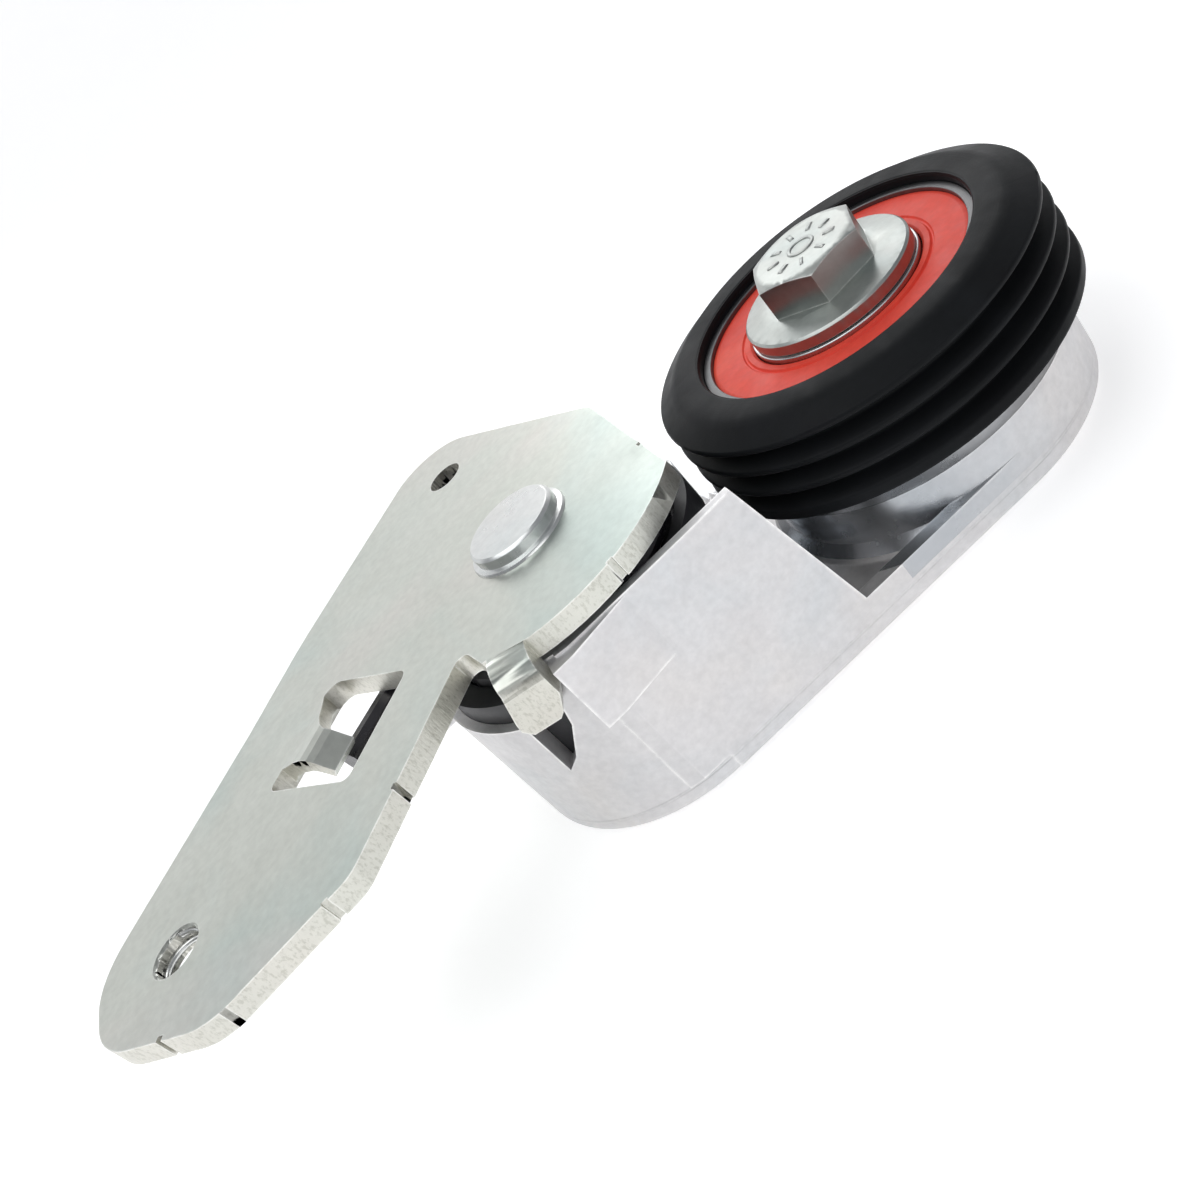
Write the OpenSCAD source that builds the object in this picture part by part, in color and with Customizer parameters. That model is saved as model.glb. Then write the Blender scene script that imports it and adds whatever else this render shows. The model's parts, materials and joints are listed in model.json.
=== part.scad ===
// Belt tensioner idler: a sprung cast arm on a stamped mounting plate, carrying a ribbed pulley.
// Millimetres. The origin is the plate's tapped hole, on the plate's rear face. +Z leaves the front
// of the plate, and +X runs from the arm's pivot to the pulley when the arm rests on its stop.

/* [Mounting plate] */
// Thickness of the stamped plate
plate_t = 3; // [2:0.25:5]
// Pivot axis to the tapped hole, along X
hole_dx = 61.4; // [50:0.1:75]
// Pivot axis to the tapped hole, along Y
hole_dy = 17.7; // [12:0.1:24]
// Thread drilling radius of the tapped hole
tap_r = 3.35; // [2.5:0.05:4.5]
// Radius of the locating hole
locate_r = 2.8; // [2:0.05:4]
// Locating hole from the pivot, along X
locate_dx = -2.9; // [-8:0.1:4]
// Locating hole from the pivot, along Y
locate_dy = 33.6; // [30:0.1:36]
// Radius of the plate's edge around the pivot
plate_edge_r = 23.4; // [21:0.1:28]
// Plate's edge beyond the tapped hole, along X
plate_end = 12.5; // [9:0.1:20]
// Plate's edge below the tapped hole, along Y
plate_skirt = 18; // [13:0.1:24]

/* [Stop tab and tongue] */
// Width of the bent stop tab
tab_w = 5.4; // [4:0.1:8]
// Depth of the stop tab below the plate's rear face
tab_drop = 6.5; // [4:0.1:7]
// Inner bend radius of the tab
bend_r = 0.8; // [0.4:0.1:2]
// Width of the tongue over the spring's leg
tongue_w = 5; // [3:0.1:7]

/* [Arm casting] */
// Pivot axis to pulley axis
arm_len = 50.2; // [46:0.1:58]
// Outer radius of the spring cup
cup_r = 22.9; // [21:0.1:24]
// Wall of the spring cup
cup_wall = 2.7; // [2:0.1:4]
// Depth of the casting below the plate's rear face
arm_depth = 30.8; // [27:0.1:40]
// Floor thickness of the cup and the arm
floor_t = 3.4; // [3:0.1:5]
// Radius of the boss under the pulley
boss_r = 23.1; // [20:0.1:26]
// Arm travel from the free stop to the loaded stop, in degrees
travel = 50; // [20:1:50]

/* [Pivot] */
// Radius of the pivot pin's journal
journal_r = 8; // [7:0.1:8.5]
// Radius of the rivet head on the plate
rivet_r = 6.6; // [6:0.1:8]
// Height of the rivet head
rivet_h = 2.2; // [1.5:0.1:3]
// Wall of the pivot bushes
bush_wall = 1; // [0.8:0.1:1.5]

/* [Torsion spring] */
// Mean radius of the coils
coil_r = 16.3; // [15.8:0.05:17]
// Radius of the spring wire
wire_r = 1.9; // [1.4:0.1:2]
// Number of turns
turns = 5; // [3:1:6]

/* [Pulley] */
// Radius over the rib crests
pulley_r = 27.7; // [26:0.1:28]
// Distance between the ribs
rib_pitch = 3.56; // [3:0.01:3.6]
// Depth of the belt grooves
groove_depth = 2.5; // [1.5:0.1:2.8]
// Number of belt grooves
grooves = 3; // [2:1:3]

/* [Bearing and bolt] */
// Bearing bore radius
bore_r = 8.5; // [8:0.5:9]
// Bearing outer radius
race_r = 20; // [19.5:0.5:20.5]
// Bearing width
race_w = 12; // [11:0.5:13]
// Number of balls
balls = 8; // [6:1:8]
// Width across the flats of the pulley bolt
bolt_af = 14; // [13:1:16]
// Radius of the bolt's flange
flange_r = 12; // [11:0.1:12.5]
// Radius of the bolt's shank
shank_r = 5; // [4:0.5:6]

/* [Hidden] */
$fn = 96;
eps = 0.01;
fit_gap = 0.05;         // running and sliding fits, radial and axial
free_gap = 0.3;         // between parts that move past each other
pivot = [hole_dx, hole_dy, 0];
axle = pivot + [arm_len, 0, 0];

// Axial stack at the pulley, all below the plate's rear face
bearing_front = -2.94;
bearing_rear = bearing_front - race_w;
bearing_mid = (bearing_front + bearing_rear) / 2;
lip_z = bearing_front + 1.35;
pulley_rear = bearing_rear - 1.06;
boss_top = pulley_rear - 1.6;
ball_r = 3.3;
ball_gap = 0.12;
ball_pcr = (bore_r + race_r) / 2;
inner_race_r = bore_r + 3.8;
outer_race_r = race_r - 3.6;
seal_seat_r = race_r - 1.15;
seal_t = 0.8;
seal_inset = 0.55;
cage_t = 0.5;
cage_half_w = 1;

// Axial stack at the pivot
cup_in_r = cup_r - cup_wall;
rim_high = -0.9;
rim_low = -8.3;
rim_t = 1.4;            // thickness of the rims
rim_cut = 1.4;          // depth of the thin part below the low rim
floor_z = -arm_depth + floor_t;
flange_z = -arm_depth + 6.2;
hub_r = journal_r + bush_wall + 3.3;
hub_top = -3.6;
bush_flange_t = 0.9;
bush_len = 8;
seat_bore_r = hub_r - 0.5;
seat_z = floor_z + 1;
washer_t = 0.8;
pin_flange_z = seat_z - washer_t - fit_gap;
pin_flange_t = 2;
cap_t = 0.8;
rivet_shank_r = 5;

// Stop tab: its bend line is tab_d from the pivot, across the direction tab_az
tab_az = -111;
tab_d = 22.6;
tab_right = 0.8;
tab_left = tab_right - tab_w;
tab_in = tab_d + bend_r;
tab_out = tab_in + plate_t;
tab_dir = [cos(tab_az), sin(tab_az)];
tab_side = [-sin(tab_az), cos(tab_az)];
stop_angle = 90 + tab_az;      // turns +X onto the tab's width
free_stop_x = tab_in * tab_dir.x + tab_right * tab_side.x + 0.2;
stop_overlap = 2.2;

// Spring: coils inside the cup, then a straight leg under the plate and the tongue
leg_az = 124.4;
leg_len = 31.2;
leg_z = -wire_r - 0.15;
leg_stop_r = 1.6;
leg_stop_s = 16.6;      // along the leg, from where it leaves the coils
coil_foot_z = floor_z + wire_r + 0.1;
wire_sides = 10;
coil_step = 10;

// Window in the plate: its own axes run across the tongue's root and along it
win_along = 29.97;      // along the leg, from where it leaves the coils
win_inside = 1.84;      // from the leg's line towards the pivot
win_c = (coil_r - win_inside) * [cos(leg_az), sin(leg_az)] + win_along * [-sin(leg_az), cos(leg_az)];
win_turn = -50;
win_x = 8.4;
win_y = 8.2;
tongue_y = -4.9;        // the tongue's lower side
tongue_tip = 1.3;

// Notches left in the plate's edge by the press tool: place and the edge's direction
nicks = [[-64.6, -30.2, -37], [-40.6, -33.7, 5], [-28.4, -25.75, 42], [5.6, -22.8, 13], [18.4, -5.7, 90]];
nick_w = 0.9;
nick_depth = 0.5;
mouth = 0.35;           // chamfer at the front mouth of the tapped hole

zinc = [0.80, 0.82, 0.77];
cast_grey = [0.80, 0.79, 0.79];
steel = [0.70, 0.71, 0.72];
black = [0.07, 0.07, 0.08];
seal_red = [0.88, 0.27, 0.20];
bronze = [0.55, 0.45, 0.32];

// ---- Shared shapes --------------------------------------------------------

module at_pivot() translate(pivot) children();
module at_axle() translate(axle) children();

function unit(v) = v / norm(v);
function arc(c, r, a, b, n) = [for (i = [0:n]) c + r * [cos(a + (b - a) * i / n), sin(a + (b - a) * i / n)]];

// One corner b between a and c, rounded by a radius r
function round_corner(a, b, c, r) =
    let (
        ua = unit(a - b),
        uc = unit(c - b),
        half = acos(ua * uc) / 2,
        centre = b + unit(ua + uc) * r / sin(half),
        s = b + ua * r / tan(half) - centre,
        e = b + uc * r / tan(half) - centre,
        from = atan2(s.y, s.x),
        sweep = ((atan2(e.y, e.x) - from + 540) % 360) - 180,
        n = ceil(abs(sweep) / 6)
    ) arc(centre, r, from, from + sweep, n);

// An outline given as [x, y, corner radius]
function rounded(p) =
    let (n = len(p)) [
        for (k = [0:n - 1])
            let (
                a = p[(k + n - 1) % n],
                b = p[k],
                c = p[(k + 1) % n]
            )
            each b.z > 0
                ? round_corner([a.x, a.y], [b.x, b.y], [c.x, c.y], b.z)
                : [[b.x, b.y]]
    ];

module ring(r_out, r_in, z, h) {
    translate([0, 0, z]) difference() {
        cylinder(r = r_out, h = h);
        translate([0, 0, -1]) cylinder(r = r_in, h = h + 2);
    }
}

// A slice of a thick ring between two angles of less than 180 degrees
module ring_sector(r_out, r_in, z, h, from, to) {
    intersection() {
        ring(r_out, r_in, z, h);
        translate([0, 0, z - 1]) linear_extrude(h + 2)
            polygon(concat([[0, 0]], arc([0, 0], r_out * 1.6, from, to, 6)));
    }
}

// Stock bent down from a flat: flat, bend and leg, drawn as [outward, up]
module bend_profile(flat, drop) {
    translate([-flat, 0]) square([flat, plate_t]);
    intersection() {
        translate([0, -bend_r]) difference() {
            circle(bend_r + plate_t);
            circle(bend_r);
        }
        translate([0, -bend_r]) square(plate_t * 2 + bend_r);
    }
    translate([bend_r, -drop]) square([plate_t, drop - bend_r]);
}

// ---- Plate group ----------------------------------------------------------

// Plan of the plate, from the tab's right side anticlockwise, about the pivot
function plate_outline() = concat(
    arc([0, 0], plate_edge_r, -108, -38, 14),
    rounded([
        [18.4, -14.2, 0], [18.4, 14.3, 3], [-2, 50, 9], [-34, 25.2, 40], [-46, 13.9, 0]
    ]),
    rounded([
        [-hole_dx - plate_end + 6.5, -hole_dy + 13.4, 0],
        [-hole_dx - plate_end, -hole_dy + 7.7, 12],
        [-hole_dx - plate_end + 0.2, -hole_dy - 5.9, 11],
        [-hole_dx + 3.3, -hole_dy - plate_skirt + 0.4, 10],
        [-36.9, -hole_dy - plate_skirt + 2.4, 5],
        [-14.2, -13, 1.3], [-13, -19, 0]
    ])
);

module tab_placed() rotate([0, 0, tab_az]) rotate([90, 0, 0]) children();

// The tab leans away from the arm's stop towards its tip
module stop_tab() {
    intersection() {
        tab_placed() translate([tab_d, 0, -tab_right])
            linear_extrude(tab_w + 2) bend_profile(3, tab_drop);
        rotate([0, 0, tab_az + 90]) translate([0, -tab_d + 4, 0]) rotate([90, 0, 0])
            linear_extrude(plate_t + bend_r + 6) polygon([
                [tab_left, plate_t + 1], [tab_right, plate_t + 1], [tab_right, -3.5],
                [tab_right - 1.4, -tab_drop + 0.6], [tab_right - 2.2, -tab_drop - eps],
                [tab_left - 0.6, -tab_drop - eps], [tab_left - 1.6, -tab_drop + 1.2],
                [tab_left - 1.4, -4], [tab_left - 0.2, 0]
            ]);
    }
}

module in_window() translate(win_c) rotate([0, 0, win_turn]) children();

module window_cut() {
    in_window() translate([0, 0, -1]) linear_extrude(plate_t + 2) polygon(rounded([
        [-win_x + 0.1, -win_y, 1.2], [win_x - 0.1, -win_y, 1.3],
        [win_x - 0.1, win_y - 0.1, 1.5], [-win_x, win_y + 0.7, 2.2]
    ]));
}

// The tongue is lanced from the window's outer side: it arches up, then dips over the spring's leg
module spring_tongue() {
    wide = tongue_y + tongue_w;
    in_window() intersection() {
        linear_extrude(3 * plate_t) polygon([
            [-win_x - 2, tongue_y], [tongue_tip, tongue_y], [tongue_tip, wide], [-2.2, wide],
            [-3.6, wide + 0.9], [-5.2, wide + 2.5], [-6.9, wide + 4.7], [-win_x, wide + 6.6],
            [-win_x - 2, wide + 6.6]
        ]);
        rotate([90, 0, 0]) translate([0, 0, -2 * win_y]) linear_extrude(4 * win_y) polygon([
            [-win_x - 2, 0], [-win_x - 2, plate_t], [-win_x, plate_t], [-7, plate_t + 0.3],
            [-4.8, plate_t + 0.85], [-3, plate_t + 1.05], [-1.9, plate_t + 0.85],
            [-1, plate_t + 0.3], [tongue_tip, plate_t - 1.7], [tongue_tip - 1.1, plate_t - 2.8],
            [-1.7, plate_t - 1.5], [-2.6, plate_t - 1.15], [-4.6, plate_t - 1.2],
            [-6.8, plate_t - 1.7], [-win_x + 0.2, plate_t - 2.5], [-win_x, 0]
        ]);
    }
}

// A half-sheared stud behind the plate takes the spring's pull
module leg_stop() {
    rotate([0, 0, leg_az]) translate([coil_r - wire_r - leg_stop_r, leg_stop_s, leg_z - 0.2])
        cylinder(r = leg_stop_r, h = 1 - leg_z);
}

module mounting_plate() {
    color(zinc) at_pivot() {
        difference() {
            linear_extrude(plate_t) polygon(plate_outline());
            translate([0, 0, -1]) cylinder(r = rivet_shank_r, h = plate_t + 2);
            translate([-hole_dx, -hole_dy, -1]) cylinder(r = tap_r, h = plate_t + 2);
            translate([-hole_dx, -hole_dy, plate_t - mouth])
                cylinder(r1 = tap_r, r2 = tap_r + 2 * mouth, h = 2 * mouth);
            translate([locate_dx, locate_dy, -1]) cylinder(r = locate_r, h = plate_t + 2);
            window_cut();
            for (n = nicks)
                translate([n.x, n.y, -1]) rotate([0, 0, n.z])
                    translate([-nick_w / 2, -nick_depth, 0]) cube([nick_w, 2 * nick_depth, plate_t + 2]);
        }
        stop_tab();
        spring_tongue();
        leg_stop();
    }
}

module pivot_pin() {
    color(steel) at_pivot() rotate_extrude() polygon([
        [0, pin_flange_z - pin_flange_t], [seat_bore_r - 1.3, pin_flange_z - pin_flange_t],
        [seat_bore_r - 0.8, pin_flange_z - pin_flange_t + 0.5], [seat_bore_r - 0.8, pin_flange_z],
        [journal_r, pin_flange_z], [journal_r, 0], [rivet_shank_r, 0], [rivet_shank_r, plate_t],
        [rivet_r + 0.9, plate_t], [rivet_r + 0.7, plate_t + 0.4], [rivet_r, plate_t + 0.5],
        [rivet_r, plate_t + rivet_h - 0.4], [rivet_r - 0.4, plate_t + rivet_h],
        [0, plate_t + rivet_h]
    ]);
}

module friction_disc() {
    top = -fit_gap;
    bottom = hub_top + bush_flange_t + fit_gap;
    color(black) at_pivot()
        ring(coil_r - wire_r - 0.6, journal_r + fit_gap, bottom, top - bottom);
}

module thrust_washer() {
    color(bronze) at_pivot()
        ring(seat_bore_r - 0.9, journal_r + 0.1, seat_z - washer_t, washer_t - eps);
}

// Points of the spring's centre line: the coils, then the straight leg
function coil_point(a) =
    let (
        total = turns * 360,
        az = leg_az - total + a,
        z = coil_foot_z + (leg_z - coil_foot_z) * min(1, a / (total - 40))
    ) [coil_r * cos(az), coil_r * sin(az), z];
function leg_point(s) = [
    coil_r * cos(leg_az) - s * sin(leg_az),
    coil_r * sin(leg_az) + s * cos(leg_az),
    leg_z
];
spring_path = concat(
    [for (a = [0:coil_step:turns * 360 - 1]) coil_point(a)],
    [for (s = [0:leg_len / 4:leg_len + eps]) leg_point(s)]
);

// Sweeps a round wire along a path
module wire(path, r, sides) {
    n = len(path);
    points = [
        for (i = [0:n - 1])
            let (
                t = unit(path[min(i + 1, n - 1)] - path[max(i - 1, 0)]),
                side = unit(cross([0, 0, 1], t)),
                up = cross(t, side)
            )
            for (k = [0:sides - 1])
                path[i] + r * (cos(k * 360 / sides) * side + sin(k * 360 / sides) * up)
    ];
    walls = [
        for (i = [0:n - 2], k = [0:sides - 1])
            let (k2 = (k + 1) % sides)
            [i * sides + k, (i + 1) * sides + k, (i + 1) * sides + k2, i * sides + k2]
    ];
    ends = [[for (k = [0:sides - 1]) k], [for (k = [sides - 1:-1:0]) (n - 1) * sides + k]];
    polyhedron(points, concat(walls, ends));
}

module torsion_spring() {
    color(black) at_pivot() wire(spring_path, wire_r, wire_sides);
}

// ---- Arm group ------------------------------------------------------------

// Lower half of the arm's section, with its round bottom edge, as [across, up]
module arm_edge_profile(r) {
    round_r = 1.8;
    translate([0, -arm_depth + round_r]) square([r, flange_z + arm_depth - round_r]);
    translate([0, -arm_depth]) square([r - round_r, round_r + eps]);
    translate([r - round_r, -arm_depth + round_r]) circle(round_r);
}

module arm_end(r, turn) {
    rotate([0, 0, turn]) rotate_extrude(angle = 180) intersection() {
        arm_edge_profile(r);
        translate([0, -arm_depth - 1]) square([r + 1, arm_depth]);
    }
}

// The arm's base: two round ends and a straight middle with flat sides
module arm_base() {
    arm_end(cup_r, 90);
    translate([arm_len, 0, 0]) arm_end(boss_r, -90);
    rotate([90, 0, 90]) linear_extrude(arm_len) {
        arm_edge_profile(boss_r);
        mirror([1, 0]) arm_edge_profile(boss_r);
    }
}

// Flat side wall from the cup's near tangent to the slanted end by the pulley, thinner at its rim
module side_wall() {
    lean = 4.4;
    pad_x = -6.4;
    pad_t = 0.6;
    end_x = cup_in_r + 0.3;
    intersection() {
        translate([pad_x, -boss_r, -arm_depth + 3.4]) {
            cube([40, cup_wall + 0.6, arm_depth - 3.4 + rim_low]);
            cube([40, rim_t, arm_depth - 3.4 + rim_high]);
        }
        union() {
            translate([0, 0, -arm_depth]) cylinder(r = cup_r + pad_t, h = arm_depth);
            translate([0, -boss_r - 1, -arm_depth]) cube([40, 2 * boss_r + 2, arm_depth]);
        }
        rotate([90, 0, 0]) translate([0, 0, -boss_r - 1]) linear_extrude(2 * boss_r + 2) polygon([
            [-7, -arm_depth], [end_x + lean + 1, -arm_depth], [end_x + lean, flange_z],
            [end_x, rim_high + 1], [-7, rim_high + 1]
        ]);
    }
}

// Stop lugs: the free stop bears on the tab's right side, the loaded stop on its left side
module stop_lugs() {
    top = rim_high - 0.3;
    lug_y = -(tab_in + stop_overlap * 0.65);
    translate([0, 0, -11.5]) linear_extrude(11.5 + top) polygon([
        [free_stop_x, -boss_r + 3], [free_stop_x - 0.3, lug_y], [free_stop_x + 2.6, lug_y],
        [4, -boss_r], [4, -boss_r + 3]
    ]);
    loaded = tab_az - atan((tab_w - tab_right + 1) / tab_in) - travel - 1.5;
    leg_under = leg_z - wire_r - free_gap;
    ring_sector(
        tab_in + stop_overlap, cup_in_r + 0.4, rim_low - 1, leg_under - rim_low + 1, loaded - 9, loaded
    );
}

module cup_cavity() {
    translate([0, 0, rim_low - rim_cut]) cylinder(r = cup_r - rim_t, h = arm_depth);
    translate([0, 0, floor_z]) difference() {
        cylinder(r = cup_in_r, h = arm_depth);
        translate([0, 0, -1]) cylinder(r = hub_r, h = hub_top - floor_z + 1);
        translate([0, 0, -1]) cylinder(r1 = hub_r + 2.4, r2 = hub_r, h = 4);
        ring_sector(cup_in_r + 1, coil_r - wire_r, -1, 2 * wire_r + 1, leg_az - 26, leg_az - 1);
    }
}

// The cup's rim is low where the spring's leg and the stop tab sweep past
module low_rim() {
    translate([0, 0, rim_low]) linear_extrude(20) polygon(concat(
        [[0, 0]], arc([0, 0], 40, -88, 228, 24)
    ));
}

// A pocket in the cup's wall beside the free stop
module stop_notch() {
    rotate([0, 0, -120]) translate([cup_in_r - 1, 0, 0]) rotate([90, 0, 90])
        linear_extrude(cup_wall + 4) polygon([
            [-4.9, rim_low - 8.8], [-2.6, rim_low - 7], [0.6, rim_low - 2.2],
            [3.4, rim_high + 0.5], [3.4, 1], [-6, 1], [-4.9, rim_low]
        ]);
}

module arm_casting() {
    color(cast_grey) at_pivot() difference() {
        union() {
            arm_base();
            side_wall();
            difference() {
                translate([0, 0, flange_z - 1]) cylinder(r = cup_r, h = rim_high - flange_z + 1);
                low_rim();
            }
            stop_lugs();
            translate([arm_len, 0, 0]) boss();
        }
        stop_notch();
        cup_cavity();
        arm_pockets();
        pulley_room();
        translate([0, 0, -arm_depth - 1]) cylinder(r = journal_r + bush_wall + eps, h = arm_depth);
        translate([0, 0, -arm_depth - 1]) cylinder(r = seat_bore_r, h = arm_depth + 1 + seat_z);
        translate([arm_len, 0, -arm_depth + 2.2]) cylinder(r = shank_r + fit_gap, h = arm_depth);
    }
}

// The boss carries the bearing: a wide drum, a step, the bearing's seat and its spigot
module boss() {
    translate([0, 0, flange_z - 1]) cylinder(r = boss_r, h = boss_top - 2.6 - flange_z + 1);
    translate([0, 0, boss_top - 2.7]) cylinder(r1 = boss_r, r2 = boss_r - 1.6, h = 2.7);
    translate([0, 0, boss_top - 1]) cylinder(r = inner_race_r - 0.4, h = bearing_rear - boss_top + 1);
    translate([0, 0, bearing_rear - 1]) cylinder(r = bore_r - fit_gap, h = race_w - 1.4);
}

// Pockets between the cup and the boss, above, and around the bolt's boss, below
module arm_pockets() {
    wall = 2.2;
    translate([0, 0, floor_z - 0.4]) difference() {
        translate([0, -boss_r + wall, 0]) cube([arm_len, 2 * (boss_r - wall), 20]);
        translate([0, 0, -1]) cylinder(r = cup_r + 2.5, h = 30);
        translate([arm_len, 0, -1]) cylinder(r = boss_r, h = 30);
        translate([arm_len, 0, -1]) cylinder(r1 = boss_r + 3, r2 = boss_r, h = 3);
    }
    ribs = 6;
    translate([arm_len, 0, -arm_depth - 1]) difference() {
        cylinder(r = boss_r - 5, h = 8);
        cylinder(r = shank_r + 4.5, h = 8);
        for (k = [0:ribs - 1]) rotate([0, 0, (k + 0.3) * 360 / ribs]) translate([0, -1.2, 0]) cube([boss_r, 2.4, 8]);
    }
}

// Room for the pulley to spin beside the cup
module pulley_room() {
    translate([arm_len, 0, boss_top]) difference() {
        cylinder(r = pulley_r + 2.4, h = 30);
        translate([0, 0, -1]) cylinder(r = boss_r, h = 1 + eps);
        cylinder(r = inner_race_r - 0.4, h = 40);
    }
}

module pivot_bush(z, flange_at_top) {
    flange_w = 2.6;
    ring(journal_r + bush_wall, journal_r + fit_gap, z, bush_len);
    if (flange_at_top)
        ring(journal_r + bush_wall + flange_w, journal_r + fit_gap, z + bush_len - eps, bush_flange_t);
}

module upper_pivot_bush() {
    color(bronze) at_pivot() pivot_bush(hub_top - bush_len + eps, true);
}

module lower_pivot_bush() {
    color(bronze) at_pivot() pivot_bush(seat_z + 0.2, false);
}

// A plastic sleeve, split on one side, keeps the coils off the cup; its collar fills the cup's rim
module spring_sleeve() {
    foot = floor_z + 2 * wire_r + 0.2;
    top = rim_low + 3.3;
    step = rim_low - rim_cut + fit_gap;
    color(black) at_pivot() difference() {
        union() {
            ring(cup_in_r - fit_gap, coil_r + wire_r + 0.1, foot, top - foot);
            intersection() {
                ring(cup_r - rim_t - fit_gap, cup_in_r - 1, step, top - step);
                translate([-cup_r, -cup_r, step - 1]) cube([cup_r, 2 * cup_r, 10]);
            }
        }
        rotate([0, 0, 60]) translate([10, -1, floor_z]) cube([20, 2, arm_depth]);
        pulley_room();
    }
}

module end_cap() {
    color(zinc) at_pivot() {
        ring(seat_bore_r - eps, seat_bore_r - 0.7, -arm_depth + 0.3, 1.6);
        translate([0, 0, -arm_depth + 0.3]) cylinder(r = seat_bore_r - eps, h = cap_t / 2 + 0.1);
    }
}

// Hexagon flange bolt: washer-like flange, cone, chamfered head and shank
module pulley_bolt() {
    rim_h = 2;
    head_base = bearing_front + rim_h + 0.65;
    head_top = bearing_front + 7.45;
    across_corners = bolt_af / sqrt(3);
    color(steel) at_axle() {
        rotate_extrude() polygon([
            [0, -arm_depth + 3.2], [shank_r - 0.8, -arm_depth + 3.2], [shank_r, -arm_depth + 4],
            [shank_r, bearing_front], [flange_r - 0.3, bearing_front], [flange_r, bearing_front + 0.3],
            [flange_r, bearing_front + rim_h - 0.3], [flange_r - 0.3, bearing_front + rim_h],
            [across_corners + 0.3, head_base], [0, head_base]
        ]);
        intersection() {
            translate([0, 0, head_base - 0.5]) rotate([0, 0, 6])
                cylinder(r = across_corners, h = head_top - head_base + 0.5, $fn = 6);
            rotate_extrude() polygon([
                [0, head_base - 1], [across_corners + 1, head_base - 1],
                [across_corners + 1, head_top - 0.95], [bolt_af / 2 - 0.55, head_top], [0, head_top]
            ]);
        }
    }
}

module bearing_inner_ring() {
    color(steel) at_axle() difference() {
        ring(inner_race_r, bore_r, bearing_rear, race_w);
        translate([0, 0, bearing_mid]) rotate_extrude()
            translate([ball_pcr, 0]) circle(ball_r + ball_gap);
    }
}

// ---- Pulley group ---------------------------------------------------------

// Grooves and ribs of the pulley's rim, as [radius, z], from front to rear
function rib_points() =
    let (
        land = 0.7,
        root = 0.5,
        first = lip_z - 2.04 - land / 2
    ) [
        for (k = [0:grooves - 1])
            let (c = first - (k + 0.5) * rib_pitch)
            each [
                [pulley_r, c + (rib_pitch - land) / 2], [pulley_r - groove_depth, c + root / 2],
                [pulley_r - groove_depth, c - root / 2], [pulley_r, c - (rib_pitch - land) / 2]
            ]
    ];

module pulley() {
    color(black) at_axle() rotate_extrude() polygon(concat(
        [
            [race_r, bearing_rear], [race_r, lip_z - 0.3], [race_r + 0.3, lip_z],
            [race_r + 3.6, lip_z], [pulley_r - 0.2, lip_z - 1.95], [pulley_r, lip_z - 2.1]
        ],
        rib_points(),
        [
            [pulley_r, pulley_rear + 0.3], [pulley_r - 0.3, pulley_rear], [race_r + 4, pulley_rear],
            [race_r + 3.4, pulley_rear + 1.2], [race_r + 0.8, pulley_rear + 1.2],
            [race_r + 0.4, pulley_rear], [race_r - 1.2, pulley_rear], [race_r - 1.2, bearing_rear]
        ]
    ));
}

module bearing_outer_ring() {
    color(steel) at_axle() rotate_extrude() difference() {
        translate([outer_race_r, bearing_rear]) square([race_r - outer_race_r, race_w]);
        translate([ball_pcr, bearing_mid]) circle(ball_r + ball_gap);
        for (z = [bearing_rear - 1, bearing_front - seal_inset - seal_t])
            translate([outer_race_r - 1, z])
                square([seal_seat_r - outer_race_r + 1, seal_inset + seal_t + 1]);
    }
}

// Seal with a raised bead at its lip; z runs outwards from the balls
module seal() {
    inner = inner_race_r + 0.15;
    rotate_extrude() polygon([
        [inner, 0.25], [inner + 0.5, 0], [seal_seat_r - eps, 0], [seal_seat_r - eps, seal_t - 0.1],
        [seal_seat_r - 0.6, seal_t], [inner + 1.7, seal_t], [inner + 1.55, seal_t - 0.25],
        [inner + 1.3, seal_t - 0.25], [inner + 1.15, seal_t + 0.1], [inner + 0.35, seal_t + 0.1],
        [inner, seal_t - 0.2]
    ]);
}

module front_seal() {
    color(seal_red) at_axle() translate([0, 0, bearing_front - seal_inset - seal_t]) seal();
}

module rear_seal() {
    color(seal_red) at_axle() translate([0, 0, bearing_rear + seal_inset + seal_t]) mirror([0, 0, 1]) seal();
}

// ---- Ball and cage group --------------------------------------------------

module each_ball() {
    for (k = [0:balls - 1]) rotate([0, 0, (k + 0.5) * 360 / balls]) translate([ball_pcr, 0, 0]) children();
}

module bearing_balls() {
    color(steel) at_axle() translate([0, 0, bearing_mid]) each_ball() sphere(ball_r);
}

// One pressed half of the ball cage, lying on the bearing's middle plane
module cage_half() {
    difference() {
        union() {
            ring(ball_pcr + cage_half_w, ball_pcr - cage_half_w, 0, cage_t);
            intersection() {
                each_ball() sphere(ball_r + 0.1 + cage_t);
                ring(ball_pcr + cage_half_w, ball_pcr - cage_half_w, 0, ball_r + 1);
            }
        }
        each_ball() sphere(ball_r + 0.1);
        for (k = [0:balls - 1]) rotate([0, 0, k * 360 / balls])
            translate([ball_pcr, 0, -1]) cylinder(r = 0.5, h = 3);
    }
}

module cage_front_half() {
    color(steel) at_axle() translate([0, 0, bearing_mid]) cage_half();
}

module cage_rear_half() {
    color(steel) at_axle() translate([0, 0, bearing_mid]) mirror([0, 0, 1]) cage_half();
}

module cage_rivets() {
    color(steel) at_axle() translate([0, 0, bearing_mid])
        for (k = [0:balls - 1]) rotate([0, 0, k * 360 / balls]) translate([ball_pcr, 0, 0]) {
            translate([0, 0, -cage_t]) cylinder(r = 0.5 - eps, h = 2 * cage_t);
            for (s = [0, 1]) mirror([0, 0, s]) translate([0, 0, cage_t]) cylinder(r = 0.8, h = 0.35);
        }
}

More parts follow.
